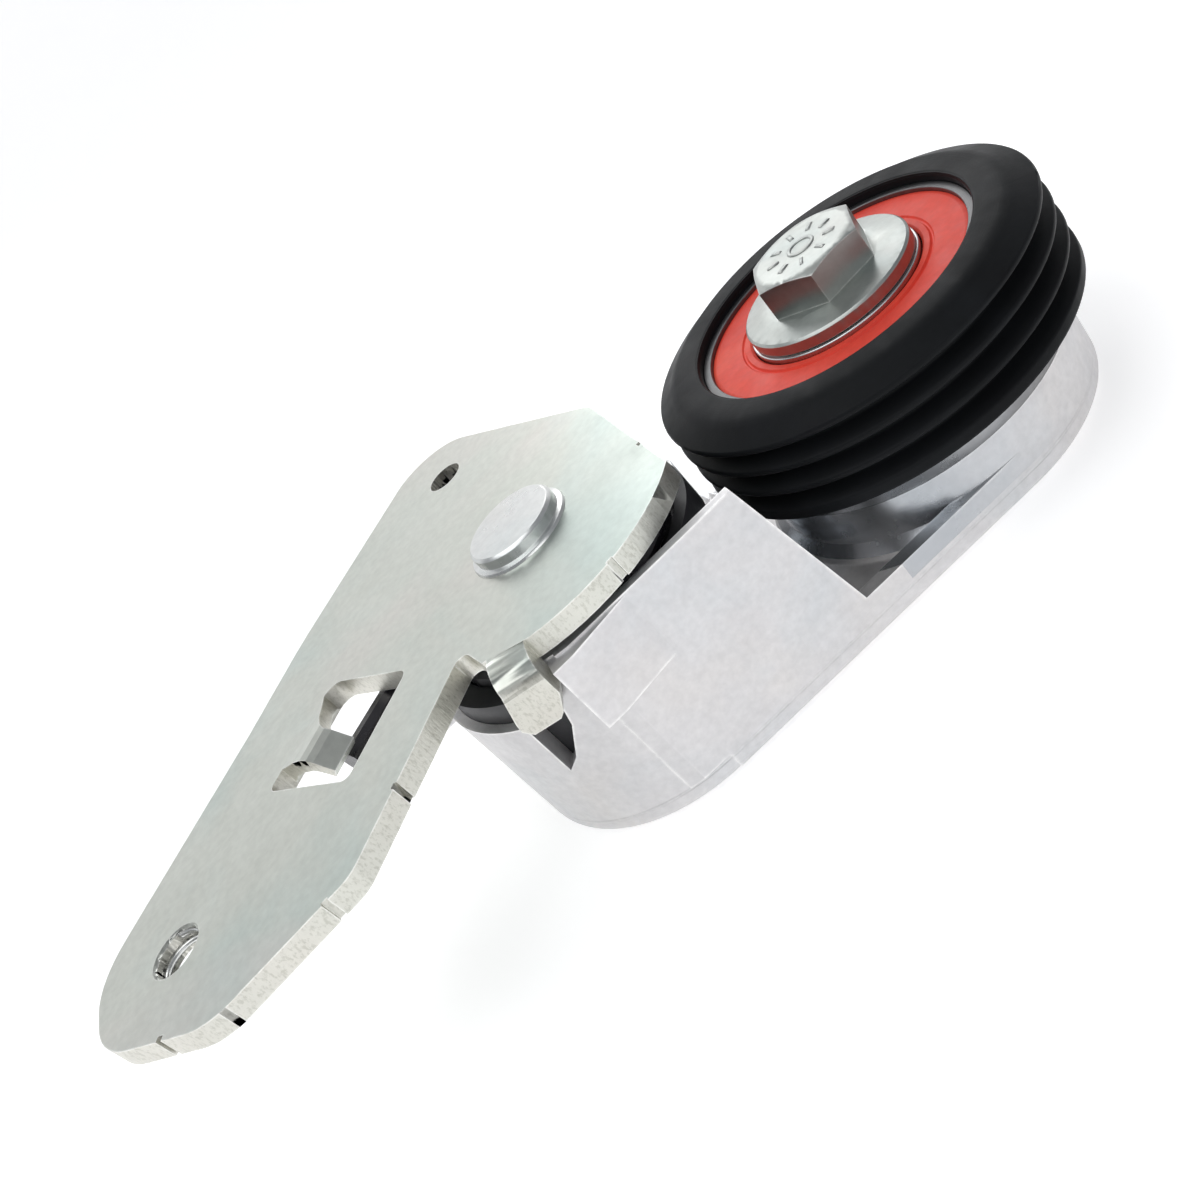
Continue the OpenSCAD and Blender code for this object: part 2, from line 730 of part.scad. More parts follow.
mounting_plate();
pivot_pin();
friction_disc();
torsion_spring();
thrust_washer();
arm_casting();
upper_pivot_bush();
lower_pivot_bush();
spring_sleeve();
end_cap();
pulley_bolt();
bearing_inner_ring();
pulley();
bearing_outer_ring();
front_seal();
rear_seal();
bearing_balls();
cage_front_half();
cage_rear_half();
cage_rivets();
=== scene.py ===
"""Looks for a belt tensioner: zinc-plated plate, cast arm, black pulley, red bearing seal."""

import json
import math

import bmesh
import bpy
from mathutils import Matrix, Vector


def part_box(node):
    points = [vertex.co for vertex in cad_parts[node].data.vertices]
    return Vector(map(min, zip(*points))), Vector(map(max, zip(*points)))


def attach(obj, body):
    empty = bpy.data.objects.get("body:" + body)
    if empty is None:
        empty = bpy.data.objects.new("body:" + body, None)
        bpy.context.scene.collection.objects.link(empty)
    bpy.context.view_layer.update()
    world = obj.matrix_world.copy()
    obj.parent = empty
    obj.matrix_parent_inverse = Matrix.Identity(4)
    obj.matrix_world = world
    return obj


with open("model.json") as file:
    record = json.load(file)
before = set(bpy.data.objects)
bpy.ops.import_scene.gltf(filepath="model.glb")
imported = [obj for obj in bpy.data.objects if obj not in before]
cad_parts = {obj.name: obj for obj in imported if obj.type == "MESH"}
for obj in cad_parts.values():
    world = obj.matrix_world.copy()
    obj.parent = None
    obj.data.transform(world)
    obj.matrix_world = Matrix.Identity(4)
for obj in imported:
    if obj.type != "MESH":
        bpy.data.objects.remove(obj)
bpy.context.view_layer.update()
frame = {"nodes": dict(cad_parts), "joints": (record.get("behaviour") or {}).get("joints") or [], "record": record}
parts = frame["nodes"]
scene = bpy.context.scene
MM = 0.001

# The axle that the pulley, its bearing and its bolt are turned about, in metres
AXLE = Vector(next(joint for joint in frame["joints"] if joint["name"] == "pulley_spin")["pos_m"])
AXLE.z = 0


# ---- Node helpers ---------------------------------------------------------

def add(tree, kind, **settings):
    """Adds a node; each setting is one of its inputs or, failing that, a property."""
    node = tree.nodes.new(kind)
    for name, value in settings.items():
        if name in node.inputs:
            node.inputs[name].default_value = value
        else:
            setattr(node, name, value)
    return node


def feed(tree, value, socket):
    """Links a socket to an input, or sets a plain value on it."""
    if isinstance(value, bpy.types.NodeSocket):
        tree.links.new(value, socket)
    else:
        socket.default_value = value


def calc(tree, operation, a, b=0.0, clamp=False):
    """One step of arithmetic on sockets or plain numbers."""
    node = add(tree, "ShaderNodeMath", operation=operation, use_clamp=clamp)
    feed(tree, a, node.inputs[0])
    feed(tree, b, node.inputs[1])
    return node.outputs[0]


def blend(tree, amount, low, high, mode="MIX"):
    """Colour low where the amount is 0, and at 1 what the mode makes of low and high: high, by default."""
    node = add(tree, "ShaderNodeMix", data_type="RGBA", blend_type=mode)
    feed(tree, amount, node.inputs["Factor"])
    feed(tree, low, node.inputs[6])
    feed(tree, high, node.inputs[7])
    return node.outputs[2]


def spread(tree, value, low, high, to_low=0.0, to_high=1.0):
    """Carries low..high of a value over to to_low..to_high, and clamps it there."""
    node = add(tree, "ShaderNodeMapRange")
    feed(tree, value, node.inputs["Value"])
    for socket, number in zip(("From Min", "From Max", "To Min", "To Max"), (low, high, to_low, to_high)):
        feed(tree, number, node.inputs[socket])
    return node.outputs[0]


def place(tree, scale=(1, 1, 1), turn=(0, 0, 0)):
    """Object coordinates, turned and stretched."""
    where = add(tree, "ShaderNodeTexCoord")
    mapping = add(tree, "ShaderNodeMapping")
    mapping.inputs["Rotation"].default_value = turn
    feed(tree, scale, mapping.inputs["Scale"])
    tree.links.new(where.outputs["Object"], mapping.inputs["Vector"])
    return mapping.outputs[0]


def noise(tree, where, scale, detail=3.0, roughness=0.5, distortion=0.0):
    """A cloudy value of about 0.3 to 0.7, most of the time."""
    node = add(tree, "ShaderNodeTexNoise", Detail=detail, Roughness=roughness, Distortion=distortion)
    feed(tree, scale, node.inputs["Scale"])
    tree.links.new(where, node.inputs["Vector"])
    return node.outputs["Fac"]


def around_axle(tree):
    """Distance from the axle, and the x, y and z from it, where the surface is shaded."""
    where = add(tree, "ShaderNodeTexCoord").outputs["Object"]
    offset = add(tree, "ShaderNodeVectorMath", operation="SUBTRACT")
    tree.links.new(where, offset.inputs[0])
    offset.inputs[1].default_value = AXLE
    split = add(tree, "ShaderNodeSeparateXYZ")
    tree.links.new(offset.outputs[0], split.inputs[0])
    squares = [calc(tree, "MULTIPLY", split.outputs[k], split.outputs[k]) for k in (0, 1)]
    return calc(tree, "SQRT", calc(tree, "ADD", *squares)), split.outputs


# ---- Shared surface effects -----------------------------------------------

def effect(name, inputs, outputs):
    """Starts a node group with named sockets; returns its tree, its inputs and its outputs."""
    tree = bpy.data.node_groups.new(name, "ShaderNodeTree")
    kinds = {"colour": "NodeSocketColor", "number": "NodeSocketFloat"}
    for label, kind in outputs:
        tree.interface.new_socket(name=label, in_out="OUTPUT", socket_type=kinds[kind])
    for label, kind, default in inputs:
        socket = tree.interface.new_socket(name=label, in_out="INPUT", socket_type=kinds[kind])
        socket.default_value = default
    return tree, tree.nodes.new("NodeGroupInput").outputs, tree.nodes.new("NodeGroupOutput").inputs


def make_plating_tint():
    """Broad faint clouds of a warm and a cool tone over a plated or cast surface."""
    tree, given, made = effect(
        "plating tint",
        [("Base", "colour", (0.6, 0.6, 0.6, 1)), ("Cool", "colour", (0.5, 0.6, 0.6, 1)),
         ("Warm", "colour", (0.6, 0.55, 0.55, 1)), ("Cloud scale", "number", 40.0)],
        [("Colour", "colour")],
    )
    broad = noise(tree, place(tree, turn=(0.3, 0.5, 0.2)), given["Cloud scale"], 4, 0.55, 0.6)
    other = noise(tree, place(tree, turn=(1.3, 0.2, 2.2)), given["Cloud scale"], 3, 0.5, 0.3)
    tinted = blend(tree, spread(tree, broad, 0.45, 0.75), given["Base"], given["Cool"])
    tinted = blend(tree, spread(tree, other, 0.5, 0.8), tinted, given["Warm"])
    fine = noise(tree, place(tree), 900.0, 2, 0.6)
    shade = spread(tree, fine, 0.3, 0.7, 0.94, 1.04)
    grey = add(tree, "ShaderNodeCombineColor")
    for channel in grey.inputs:
        tree.links.new(shade, channel)
    tree.links.new(blend(tree, 1.0, tinted, grey.outputs[0], "MULTIPLY"), made["Colour"])
    return tree


def make_edge_wear_and_highlight():
    """1 along the corners of a piece, 0 on its flats: where corners are lightened, for wear and as a painted
    highlight.
    """
    tree, given, made = effect("worn edge", [("Width", "number", 0.0004)], [("Mask", "number")])
    rounded = add(tree, "ShaderNodeBevel", samples=6)
    tree.links.new(given["Width"], rounded.inputs["Radius"])
    true_normal = add(tree, "ShaderNodeNewGeometry").outputs["Normal"]
    alike = add(tree, "ShaderNodeVectorMath", operation="DOT_PRODUCT")
    tree.links.new(rounded.outputs[0], alike.inputs[0])
    tree.links.new(true_normal, alike.inputs[1])
    turned = spread(tree, alike.outputs["Value"], 0.995, 0.86)
    patchy = spread(tree, noise(tree, place(tree), 500.0, 4, 0.6), 0.3, 0.55)
    tree.links.new(calc(tree, "MULTIPLY", turned, patchy), made["Mask"])
    return tree


def make_skin_grain():
    """A cast or moulded skin: fine pitting over soft waves, as a height."""
    tree, given, made = effect("skin grain", [("Grain scale", "number", 1500.0)], [("Height", "number")])
    fine = noise(tree, place(tree), given["Grain scale"], 5, 0.65)
    waves = noise(tree, place(tree), calc(tree, "MULTIPLY", given["Grain scale"], 0.12), 2, 0.4)
    tree.links.new(calc(tree, "ADD", fine, calc(tree, "MULTIPLY", waves, 1.6)), made["Height"])
    return tree


def make_handling_marks():
    """Short hairline scratches in three directions."""
    tree, given, made = effect("handling marks", [("Amount", "number", 1.0)], [("Mask", "number")])
    total = None
    for turn in (0.4, 1.5, 2.6):
        lines = noise(tree, place(tree, (60, 3500, 60), (0.1, 0.2, turn)), 1.0, 1, 0.5)
        patches = noise(tree, place(tree, (1, 1, 1), (turn, 0.3, turn)), 90.0, 1, 0.5)
        marks = calc(tree, "MULTIPLY", spread(tree, lines, 0.68, 0.74), spread(tree, patches, 0.52, 0.62))
        total = marks if total is None else calc(tree, "MAXIMUM", total, marks)
    tree.links.new(calc(tree, "MULTIPLY", total, given["Amount"]), made["Mask"])
    return tree


def make_turning_lines():
    """Lathe lines round the axle, as a height."""
    tree, given, made = effect("turning lines", [("Line scale", "number", 5000.0)], [("Height", "number")])
    radius, offset = around_axle(tree)
    line = add(tree, "ShaderNodeTexNoise", noise_dimensions="1D", Detail=3.0)
    tree.links.new(calc(tree, "ADD", radius, offset[2]), line.inputs["W"])
    tree.links.new(given["Line scale"], line.inputs["Scale"])
    tree.links.new(line.outputs["Fac"], made["Height"])
    return tree


def make_sheared_side():
    """On a stamped sheet's sides: where they are, and the streaks the press leaves in them."""
    tree, given, made = effect("sheared side", [("Streak scale", "number", 2600.0)],
                               [("Mask", "number"), ("Height", "number")])
    normal = add(tree, "ShaderNodeNewGeometry").outputs["True Normal"]
    split = add(tree, "ShaderNodeSeparateXYZ")
    tree.links.new(normal, split.inputs[0])
    upright = calc(tree, "ABSOLUTE", split.outputs[2])
    side = spread(tree, upright, 0.5, 0.2)
    streaks = noise(tree, place(tree, (1, 1, 0.12)), given["Streak scale"], 3, 0.6)
    torn = noise(tree, place(tree, (1, 1, 0.6)), calc(tree, "MULTIPLY", given["Streak scale"], 0.25), 4, 0.65)
    tree.links.new(side, made["Mask"])
    rough = calc(tree, "ADD", streaks, calc(tree, "MULTIPLY", torn, 0.8))
    tree.links.new(calc(tree, "MULTIPLY", rough, side), made["Height"])
    return tree


def make_turned_pocket():
    """1 on the floor and the wall of the pocket turned out round the axle, 0 elsewhere; the arm's painted shade is
    laid on with it.
    """
    tree, given, made = effect("turned pocket", [("Reach", "number", 0.03)], [("Mask", "number")])
    wall_skin = 0.62 * MM
    just_under_floor = -27.2 * MM
    fade_from = 6 * MM
    fade_to = -12 * MM
    radius, offset = around_axle(tree)
    pivot_side = spread(tree, offset[0], fade_from, fade_to)
    within = calc(tree, "LESS_THAN", radius, calc(tree, "ADD", given["Reach"], wall_skin))
    above = calc(tree, "GREATER_THAN", offset[2], just_under_floor)
    tree.links.new(calc(tree, "MULTIPLY", calc(tree, "MULTIPLY", within, above), pivot_side), made["Mask"])
    return tree


EFFECTS = {
    "pocket": make_turned_pocket(),
    "tint": make_plating_tint(),
    "edge": make_edge_wear_and_highlight(),
    "grain": make_skin_grain(),
    "marks": make_handling_marks(),
    "turning": make_turning_lines(),
    "sheared": make_sheared_side(),
}


def use(tree, name, **settings):
    """Places a shared effect in a material, with its own values."""
    node = tree.nodes.new("ShaderNodeGroup")
    node.node_tree = EFFECTS[name]
    for label, value in settings.items():
        node.inputs[label.replace("_", " ")].default_value = value
    return node.outputs


# ---- Finishes -------------------------------------------------------------

def finish(name, metallic, roughness, coat=0.0, coat_roughness=0.1):
    """An empty material: its tree and its Principled shader."""
    material = bpy.data.materials.new(name)
    material.use_nodes = True
    tree = material.node_tree
    shader = tree.nodes["Principled BSDF"]
    shader.inputs["Metallic"].default_value = metallic
    shader.inputs["Roughness"].default_value = roughness
    shader.inputs["Coat Weight"].default_value = coat
    shader.inputs["Coat Roughness"].default_value = coat_roughness
    return material, tree, shader


def emboss(tree, shader, height, distance, strength=1.0):
    """Raises the surface by a height, whose unit is the distance in metres."""
    bump = add(tree, "ShaderNodeBump", Strength=strength, Distance=distance)
    feed(tree, height, bump.inputs["Height"])
    tree.links.new(bump.outputs[0], shader.inputs["Normal"])


def rgb(r, g, b):
    """An opaque colour."""
    return (r, g, b, 1.0)


def shade_of(colour, factor):
    """The same opaque colour, lighter or darker."""
    return rgb(*(factor * channel for channel in colour[:3]))


def bright_zinc(name, base, cool, warm, edge, roughness, cloud_scale=22.0, sheared=True):
    """Zinc plate: faint cool and warm clouds, corners brightened by wear and a painted highlight, hairlines, and
    streaked sheared sides.
    """
    material, tree, shader = finish(name, 1.0, roughness)
    tone = use(tree, "tint", Base=base, Cool=cool, Warm=warm, Cloud_scale=cloud_scale)["Colour"]
    wear_and_highlight = use(tree, "edge", Width=0.35 * MM)["Mask"]
    marks = use(tree, "marks", Amount=0.7)["Mask"]
    grain = use(tree, "grain", Grain_scale=1900.0)["Height"]
    height = calc(tree, "SUBTRACT", calc(tree, "MULTIPLY", grain, 0.35), calc(tree, "MULTIPLY", marks, 0.5))
    smudge = noise(tree, place(tree), 130.0, 4, 0.6)
    rough = spread(tree, smudge, 0.3, 0.7, roughness - 0.05, roughness + 0.08)
    if sheared:
        cut = use(tree, "sheared", Streak_scale=2600.0)
        tone = blend(tree, calc(tree, "MULTIPLY", cut["Mask"], 0.7), tone, rgb(0.74, 0.72, 0.66))
        fleck = spread(tree, noise(tree, place(tree, (1, 1, 0.5)), 2600.0, 4, 0.7), 0.5, 0.62, 0.0, 0.4)
        tone = blend(tree, calc(tree, "MULTIPLY", cut["Mask"], fleck), tone, rgb(0.36, 0.36, 0.30))
        height = calc(tree, "ADD", height, calc(tree, "MULTIPLY", cut["Height"], 4.0))
        rough = calc(tree, "ADD", rough, calc(tree, "MULTIPLY", cut["Mask"], 0.12))
    # Corners blend towards the near-white edge colour: wear, and a painted highlight
    tree.links.new(blend(tree, calc(tree, "MULTIPLY", wear_and_highlight, 0.8), tone, edge), shader.inputs["Base Color"])
    tree.links.new(calc(tree, "ADD", rough, calc(tree, "MULTIPLY", marks, 0.1)), shader.inputs["Roughness"])
    emboss(tree, shader, height, 0.012 * MM)
    return material


def die_cast_aluminium():
    """Matt cast skin with a faint parting line low on the walls, corners made brighter by rubbing and a painted
    highlight, and painted shade in the pocket under the pulley.
    """
    parting_line = -27.9 * MM       # its height
    pocket_radius = 29.6 * MM       # of the pocket under the pulley
    material, tree, shader = finish("die_cast_aluminium", 0.82, 0.5)
    tone = use(tree, "tint", Base=rgb(0.69, 0.68, 0.685), Cool=rgb(0.64, 0.655, 0.67),
               Warm=rgb(0.71, 0.685, 0.67), Cloud_scale=55.0)["Colour"]
    wear_and_highlight = use(tree, "edge", Width=0.7 * MM)["Mask"]
    grain = use(tree, "grain", Grain_scale=1300.0)["Height"]
    position = add(tree, "ShaderNodeSeparateXYZ")
    tree.links.new(add(tree, "ShaderNodeTexCoord").outputs["Object"], position.inputs[0])
    parting = calc(tree, "ABSOLUTE", calc(tree, "SUBTRACT", position.outputs[2], parting_line))
    seam = spread(tree, parting, 0.26 * MM, 0.1 * MM)
    blotch = noise(tree, place(tree), 240.0, 5, 0.65)
    tone = blend(tree, spread(tree, blotch, 0.35, 0.75, 0.0, 0.12), tone, rgb(0.58, 0.58, 0.59))
    # Corners blend to near white: rubbing, and a painted highlight
    tone = blend(tree, calc(tree, "MULTIPLY", wear_and_highlight, 0.95), tone, rgb(0.97, 0.96, 0.95))
    # The pocket under the pulley is turned smooth, and its colour is darkened there: painted shade and a painted
    # reflection of the dark pulley
    turned = use(tree, "pocket", Reach=pocket_radius)["Mask"]
    tone = blend(tree, calc(tree, "MULTIPLY", turned, 0.55), tone, rgb(0.33, 0.37, 0.41))
    tree.links.new(tone, shader.inputs["Base Color"])
    rough = spread(tree, blotch, 0.3, 0.7, 0.42, 0.56)
    rough = calc(tree, "SUBTRACT", rough, calc(tree, "MULTIPLY", wear_and_highlight, 0.14))
    rough = calc(tree, "SUBTRACT", rough, calc(tree, "MULTIPLY", turned, 0.26))
    tree.links.new(rough, shader.inputs["Roughness"])
    grain = calc(tree, "MULTIPLY", grain, calc(tree, "SUBTRACT", 1.0, calc(tree, "MULTIPLY", turned, 0.8)))
    emboss(tree, shader, calc(tree, "ADD", grain, calc(tree, "MULTIPLY", seam, 2.2)), 0.03 * MM)
    return material


def black_pulley_coat():
    """Satin black with faint turning lines and a fine moulded grain."""
    material, tree, shader = finish("black_pulley_coat", 0.0, 0.42)
    shader.inputs["Specular IOR Level"].default_value = 0.06
    tone = use(tree, "tint", Base=rgb(0.009, 0.010, 0.011), Cool=rgb(0.012, 0.013, 0.015),
               Warm=rgb(0.008, 0.008, 0.009), Cloud_scale=60.0)["Colour"]
    wear_and_highlight = use(tree, "edge", Width=0.3 * MM)["Mask"]
    marks = use(tree, "marks", Amount=0.5)["Mask"]
    turning = use(tree, "turning", Line_scale=3200.0)["Height"]
    grain = use(tree, "grain", Grain_scale=2200.0)["Height"]
    # Corners lightened a little: wear, and a painted highlight
    tree.links.new(blend(tree, calc(tree, "MULTIPLY", wear_and_highlight, 0.25), tone, rgb(0.07, 0.07, 0.075)),
                   shader.inputs["Base Color"])
    rough = spread(tree, noise(tree, place(tree), 200.0, 4, 0.6), 0.3, 0.7, 0.36, 0.48)
    tree.links.new(calc(tree, "ADD", rough, calc(tree, "MULTIPLY", marks, 0.1)), shader.inputs["Roughness"])
    height = calc(tree, "ADD", calc(tree, "MULTIPLY", turning, 0.6), calc(tree, "MULTIPLY", grain, 0.5))
    emboss(tree, shader, height, 0.015 * MM)
    return material


def black_finish(name, base, roughness, grain_scale, metallic=0.0, coat=0.0):
    """Black plastic or black-coated wire."""
    material, tree, shader = finish(name, metallic, roughness, coat, 0.2)
    tone = use(tree, "tint", Base=base, Cool=shade_of(base, 1.3), Warm=shade_of(base, 0.8),
               Cloud_scale=120.0)["Colour"]
    wear_and_highlight = use(tree, "edge", Width=0.25 * MM)["Mask"]
    # Corners lightened a little: wear, and a painted highlight
    tree.links.new(blend(tree, calc(tree, "MULTIPLY", wear_and_highlight, 0.2), tone, rgb(0.15, 0.15, 0.15)),
                   shader.inputs["Base Color"])
    smudge = noise(tree, place(tree), 300.0, 4, 0.6)
    rough = spread(tree, smudge, 0.3, 0.7, roughness - 0.06, roughness + 0.1)
    tree.links.new(rough, shader.inputs["Roughness"])
    emboss(tree, shader, use(tree, "grain", Grain_scale=grain_scale)["Height"], 0.015 * MM)
    return material


def red_seal_rubber():
    """Moulded orange-red rubber with faint rings from the mould."""
    material, tree, shader = finish("red_seal_rubber", 0.0, 0.5)
    shader.inputs["Specular IOR Level"].default_value = 0.3
    tone = use(tree, "tint", Base=rgb(0.80, 0.062, 0.035), Cool=rgb(0.72, 0.045, 0.028),
               Warm=rgb(0.86, 0.085, 0.042), Cloud_scale=90.0)["Colour"]
    tree.links.new(tone, shader.inputs["Base Color"])
    rough = noise(tree, place(tree), 260.0, 3, 0.6)
    tree.links.new(spread(tree, rough, 0.3, 0.7, 0.42, 0.56), shader.inputs["Roughness"])
    rings = use(tree, "turning", Line_scale=1800.0)["Height"]
    grain = use(tree, "grain", Grain_scale=2600.0)["Height"]
    emboss(tree, shader, calc(tree, "ADD", calc(tree, "MULTIPLY", rings, 0.6), grain), 0.012 * MM)
    return material


def ground_steel(name, grey, roughness):
    """Bearing steel with grinding lines round the axle."""
    material, tree, shader = finish(name, 1.0, roughness)
    tone = use(tree, "tint", Base=rgb(grey, grey, grey * 1.02), Cool=rgb(grey * 0.92, grey * 0.96, grey),
               Warm=rgb(grey * 1.03, grey, grey * 0.97), Cloud_scale=70.0)["Colour"]
    wear_and_highlight = use(tree, "edge", Width=0.3 * MM)["Mask"]
    lines = use(tree, "turning", Line_scale=9000.0)["Height"]
    # Corners lightened: wear, and a painted highlight
    tone = blend(tree, calc(tree, "MULTIPLY", wear_and_highlight, 0.5), tone, rgb(0.75, 0.76, 0.77))
    tree.links.new(tone, shader.inputs["Base Color"])
    rough = spread(tree, lines, 0.3, 0.7, roughness - 0.05, roughness + 0.1)
    tree.links.new(rough, shader.inputs["Roughness"])
    emboss(tree, shader, lines, 0.006 * MM)
    return material


def bush_bronze():
    """Sintered bronze, pitted and a little dark."""
    material, tree, shader = finish("sintered_bronze", 1.0, 0.42)
    tone = use(tree, "tint", Base=rgb(0.52, 0.36, 0.19), Cool=rgb(0.44, 0.33, 0.2),
               Warm=rgb(0.58, 0.38, 0.18), Cloud_scale=150.0)["Colour"]
    pits = noise(tree, place(tree), 2400.0, 4, 0.7)
    tone = blend(tree, spread(tree, pits, 0.4, 0.3), tone, rgb(0.16, 0.11, 0.07))
    tree.links.new(tone, shader.inputs["Base Color"])
    tree.links.new(spread(tree, pits, 0.3, 0.7, 0.55, 0.34), shader.inputs["Roughness"])
    emboss(tree, shader, pits, 0.02 * MM)
    return material


plate_zinc = bright_zinc("plate_zinc", base=rgb(0.58, 0.60, 0.55), cool=rgb(0.49, 0.58, 0.55),
                         warm=rgb(0.65, 0.58, 0.555), edge=rgb(0.98, 0.98, 0.95), roughness=0.33)
bolt_zinc = bright_zinc("bolt_zinc", base=rgb(0.42, 0.44, 0.42), cool=rgb(0.39, 0.43, 0.42),
                        warm=rgb(0.46, 0.44, 0.42), edge=rgb(0.85, 0.85, 0.83), roughness=0.36,
                        cloud_scale=60.0, sheared=False)
pin_zinc = bright_zinc("pin_zinc", base=rgb(0.66, 0.67, 0.66), cool=rgb(0.60, 0.65, 0.65),
                       warm=rgb(0.68, 0.66, 0.63), edge=rgb(0.93, 0.93, 0.91), roughness=0.28,
                       cloud_scale=50.0, sheared=False)
cast_skin = die_cast_aluminium()
pulley_black = black_pulley_coat()
spring_black = black_finish("spring_black", base=rgb(0.022, 0.021, 0.024), roughness=0.28,
                            grain_scale=1800.0, metallic=0.35, coat=0.3)
plastic_black = black_finish("sleeve_black", base=rgb(0.028, 0.028, 0.031), roughness=0.45,
                             grain_scale=2200.0)
seal_red = red_seal_rubber()
bearing_steel = ground_steel("ground_bearing_steel", grey=0.6, roughness=0.24)
# A darker copy of the bearing steel for the outer ring, which is set back in the pulley's lip: painted shade
race_steel_painted_shade = ground_steel("race_steel_in_painted_shade", grey=0.16, roughness=0.4)
bronze = bush_bronze()

FINISH_OF = {
    "mounting_plate": plate_zinc, "pivot_pin": pin_zinc, "friction_disc": plastic_black,
    "torsion_spring": spring_black, "thrust_washer": bronze, "arm_casting": cast_skin,
    "upper_pivot_bush": bronze, "lower_pivot_bush": bronze, "spring_sleeve": plastic_black,
    "end_cap": pin_zinc, "pulley_bolt": bolt_zinc, "bearing_inner_ring": bearing_steel,
    "pulley": pulley_black, "bearing_outer_ring": race_steel_painted_shade, "front_seal": seal_red,
    "rear_seal": seal_red, "bearing_balls": bearing_steel, "cage_front_half": bearing_steel,
    "cage_rear_half": bearing_steel, "cage_rivets": bearing_steel,
}

# How far each piece's corners are rounded, in mm
ROUND_OF = {
    "mounting_plate": 0.25, "arm_casting": 0.35, "pulley": 0.35, "pulley_bolt": 0.12,
    "pivot_pin": 0.12, "bearing_inner_ring": 0.2, "bearing_outer_ring": 0.15, "front_seal": 0.06,
    "rear_seal": 0.06, "spring_sleeve": 0.2,
}

# Turned and headed pieces, whose flats keep their shading right up to the rounded corners
TURNED = {"pulley", "pulley_bolt", "pivot_pin", "bearing_inner_ring", "bearing_outer_ring"}


def round_corners(piece, width):
    """Rounds the sharp corners of a solid, once the doubled points along its seams are joined."""
    weld = piece.modifiers.new("weld seams", "WELD")
    weld.merge_threshold = 0.002 * MM
    bevel = piece.modifiers.new("round corners", "BEVEL")
    bevel.width = width
    bevel.segments = 2
    bevel.limit_method = "ANGLE"
    bevel.angle_limit = math.radians(32)
    bevel.use_clamp_overlap = True


def keep_flats_flat(piece):
    """Shades a piece smooth, but lets its large faces set the shading of the corners beside them."""
    flats = piece.modifiers.new("flat faces stay flat", "WEIGHTED_NORMAL")
    flats.weight = 60
    for face in piece.data.polygons:
        face.use_smooth = True


for name, piece in parts.items():
    piece.data.materials.clear()
    piece.data.materials.append(FINISH_OF[name])
    if name in ROUND_OF:
        round_corners(piece, ROUND_OF[name] * MM)
    if name in TURNED:
        keep_flats_flat(piece)


# ---- Details the plain solids leave out -----------------------------------

def smooth_object(name, mesh, material):
    """Turns a bmesh into a smooth-shaded object in the scene, and frees the bmesh."""
    for face in mesh.faces:
        face.smooth = True
    data = bpy.data.meshes.new(name)
    mesh.to_mesh(data)
    mesh.free()
    data.materials.append(material)
    made = bpy.data.objects.new(name, data)
    scene.collection.objects.link(made)
    return made


def piece_from(name, mesh, material, body):
    """Adds a piece that moves with a body and takes its finish from a slot."""
    piece = smooth_object(name, mesh, material)
    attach(piece, body)


def round_point(centre, radius, angle, height):
    """A point round an upright axis: the centre in metres, the radius and the height in mm."""
    return centre + Vector((radius * math.cos(angle), radius * math.sin(angle), height)) * MM


def skin_between(mesh, row, after):
    """Closes the band between two sections of a swept shape."""
    for k in range(len(row)):
        j = (k + 1) % len(row)
        mesh.faces.new((row[k], row[j], after[j], after[k]))


def screw_thread(centre, bore, depth, pitch, low, high):
    """A helical ridge that stands in from a bore's wall, between two heights. All sizes in mm."""
    mesh = bmesh.new()
    steps = 64                  # sections in a turn
    run_in = 10                 # sections over which the ridge rises to its full depth
    blunt = 0.02                # what is left of the ridge at its far end
    buried = 0.03               # how far its foot is sunk into the wall
    foot = 0.46                 # half width of the foot and of the crest, as shares of the pitch
    crest = 0.07
    section = ((buried, -foot), (-depth, -crest), (-depth, crest), (buried, foot))
    turns = (high - low) / pitch
    rows = []
    for k in range(int(turns * steps) + 1):
        angle = 2 * math.pi * k / steps
        lift = low + pitch * k / steps
        fade = min(1.0, k / run_in, (turns * steps - k) / run_in + blunt)
        row = []
        for out, along in section:
            radius = bore + out * (fade if out < 0 else 1)
            row.append(mesh.verts.new(round_point(centre, radius, angle, lift + along * pitch)))
        rows.append(row)
    for row, after in zip(rows, rows[1:]):
        skin_between(mesh, row, after)
    mesh.faces.new(rows[0])
    mesh.faces.new(list(reversed(rows[-1])))
    bmesh.ops.recalc_face_normals(mesh, faces=mesh.faces)
    return mesh


def add_head_bars(mesh, centre, top):
    """Short tapering bars, raised on the bolt's head and standing out like spokes."""
    bars = 9
    middle = 4.1                # from the axle to the middle of a bar, in mm
    length = 1.9
    height = 0.2
    sunk = 0.04                 # how far a bar's foot is sunk into the head
    taper = 0.35                # share of its plan that a bar loses towards its top
    for k in range(bars):
        width = 0.55 + 0.12 * (k % 3)
        turn = Matrix.Rotation(2 * math.pi * k / bars, 4, "Z")
        for vert in bmesh.ops.create_cube(mesh, size=1.0)["verts"]:
            lift = 0.5 + vert.co.z
            slim = 1.0 - taper * lift
            local = Vector((
                middle + vert.co.x * length * slim,
                vert.co.y * width * slim,
                lift * height - sunk,
            ))
            vert.co = centre + (turn @ local) * MM + Vector((0, 0, top * MM))


def add_head_ring(mesh, centre, top):
    """A small ring, raised on the bolt's head inside the bars."""
    steps = 36
    radius = 1.7
    section = ((-0.32, -0.04), (-0.2, 0.15), (0.2, 0.15), (0.32, -0.04))
    rows = []
    for k in range(steps):
        angle = 2 * math.pi * k / steps
        rows.append([
            mesh.verts.new(round_point(centre, radius + out, angle, top + up))
            for out, up in section
        ])
    for row, after in zip(rows, rows[1:] + rows[:1]):
        skin_between(mesh, row, after)


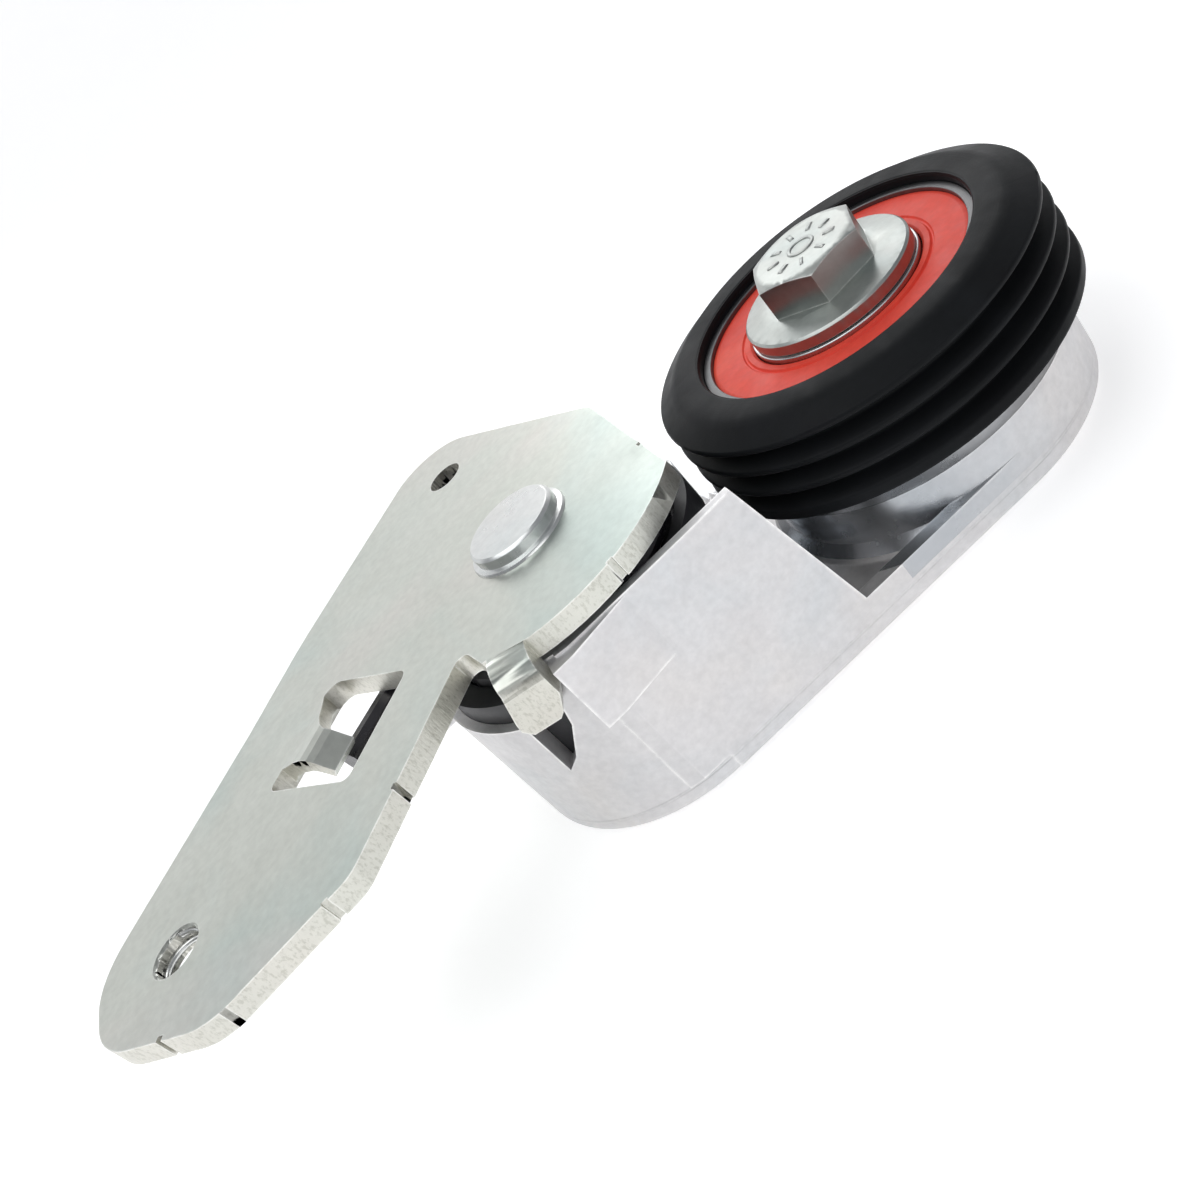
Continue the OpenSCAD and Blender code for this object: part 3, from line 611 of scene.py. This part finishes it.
def head_marks(centre, top):
    """Raised strength marks on the bolt's head, whose top is at a height in mm."""
    mesh = bmesh.new()
    add_head_bars(mesh, centre, top)
    add_head_ring(mesh, centre, top)
    bmesh.ops.recalc_face_normals(mesh, faces=mesh.faces)
    return mesh


bolt_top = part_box("pulley_bolt")[1].z / MM
piece_from("bolt_head_marks", head_marks(AXLE, bolt_top), bolt_zinc, "tension_arm")

# A coarse M8 thread, in the tapped hole whose wall stands at the thread's drilling radius
tapped_hole = next(mount for mount in frame["record"]["mounts"] if mount["name"] == "plate_screw_hole")
plate_thread = screw_thread(Vector(tapped_hole["pos_m"]), bore=tapped_hole["dims"]["r_mm"],
                            depth=0.42, pitch=1.25, low=0.62, high=2.2)
piece_from("plate_thread", plate_thread, pin_zinc, "bracket")


# ---- Room, lights and camera ----------------------------------------------

def floor_finish():
    """Matt near-white, with a faint glow of its own so that it stays pale behind the object."""
    material, tree, shader = finish("pale_floor", 0.0, 0.75)
    cloud = noise(tree, place(tree), 3.0, 3, 0.5)
    tone = blend(tree, spread(tree, cloud, 0.3, 0.7), rgb(0.93, 0.93, 0.93), rgb(0.95, 0.95, 0.95))
    tree.links.new(tone, shader.inputs["Base Color"])
    shader.inputs["Emission Color"].default_value = (1, 1, 1, 1)
    shader.inputs["Emission Strength"].default_value = 0.44
    return material


def sweep_floor(low, size):
    """A floor that curves up into a wall behind the object."""
    mesh = bmesh.new()
    flat_end = 0.6 * size
    bend = 0.35 * size
    wall = 0.6 * size
    half_width = 1.6 * size
    bend_steps = 12
    profile = [(-size, 0.0), (flat_end, 0.0)]
    for k in range(1, bend_steps + 1):
        angle = math.radians(90 * k / bend_steps)
        profile.append((flat_end + bend * math.sin(angle), bend * (1 - math.cos(angle))))
    profile.append((flat_end + bend, bend + wall))
    left, right = [
        [mesh.verts.new((x, y, low + z)) for y, z in profile]
        for x in (-half_width, half_width)
    ]
    for k in range(len(profile) - 1):
        mesh.faces.new((left[k], right[k], right[k + 1], left[k + 1]))
    smooth_object("floor", mesh, floor_finish())


def soft_light(name, at, size, power):
    """A rectangular lamp that faces the middle of the object."""
    lamp = bpy.data.lights.new(name, "AREA")
    lamp.shape = "RECTANGLE"
    lamp.size, lamp.size_y = size
    lamp.energy = power
    light = bpy.data.objects.new(name, lamp)
    light.location = at
    light.rotation_euler = (MIDDLE - light.location).to_track_quat("-Z", "Y").to_euler()
    scene.collection.objects.link(light)


# The arm's foot stands this far above the floor, so that the two never share a plane
FLOOR_GAP = 0.2 * MM
sweep_floor(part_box("arm_casting")[0].z - FLOOR_GAP, size=1.6)

world = bpy.data.worlds.new("studio")
world.use_nodes = True
sky = world.node_tree.nodes["Background"]
sky.inputs["Color"].default_value = (0.93, 0.95, 1.0, 1)
sky.inputs["Strength"].default_value = 0.34
scene.world = world

MIDDLE = Vector((0.06, 0.01, 0))
soft_light("key", at=(-0.25, -0.1, 0.85), size=(0.9, 0.9), power=4.2)
soft_light("front", at=(0.15, -0.8, 0.25), size=(0.7, 0.4), power=1.1)
soft_light("back", at=(0.35, 0.7, 0.5), size=(0.5, 0.5), power=1.2)

scene.view_settings.view_transform = "Standard"

# The camera looks across the object from its -Y side, about 28 degrees down, and is rolled so that
# +X runs up to the right. These are its place and the ways that its right side and its top point
CAMERA_AT = (0.06519, -0.13436, 0.07019)
RIGHT = Vector((0.7203, -0.3209, -0.6150))
UP = Vector((0.6935, 0.3510, 0.6291))
BACK = RIGHT.cross(UP).normalized()
camera_data = bpy.data.cameras.new("camera")
camera_data.sensor_width = 36.0
camera_data.lens = 39.44
camera_data.clip_start = 0.01
camera = bpy.data.objects.new("camera", camera_data)
attitude = Matrix((RIGHT.normalized(), BACK.cross(RIGHT).normalized(), BACK)).transposed()
camera.matrix_world = Matrix.Translation(CAMERA_AT) @ attitude.to_4x4()
scene.collection.objects.link(camera)
scene.camera = camera
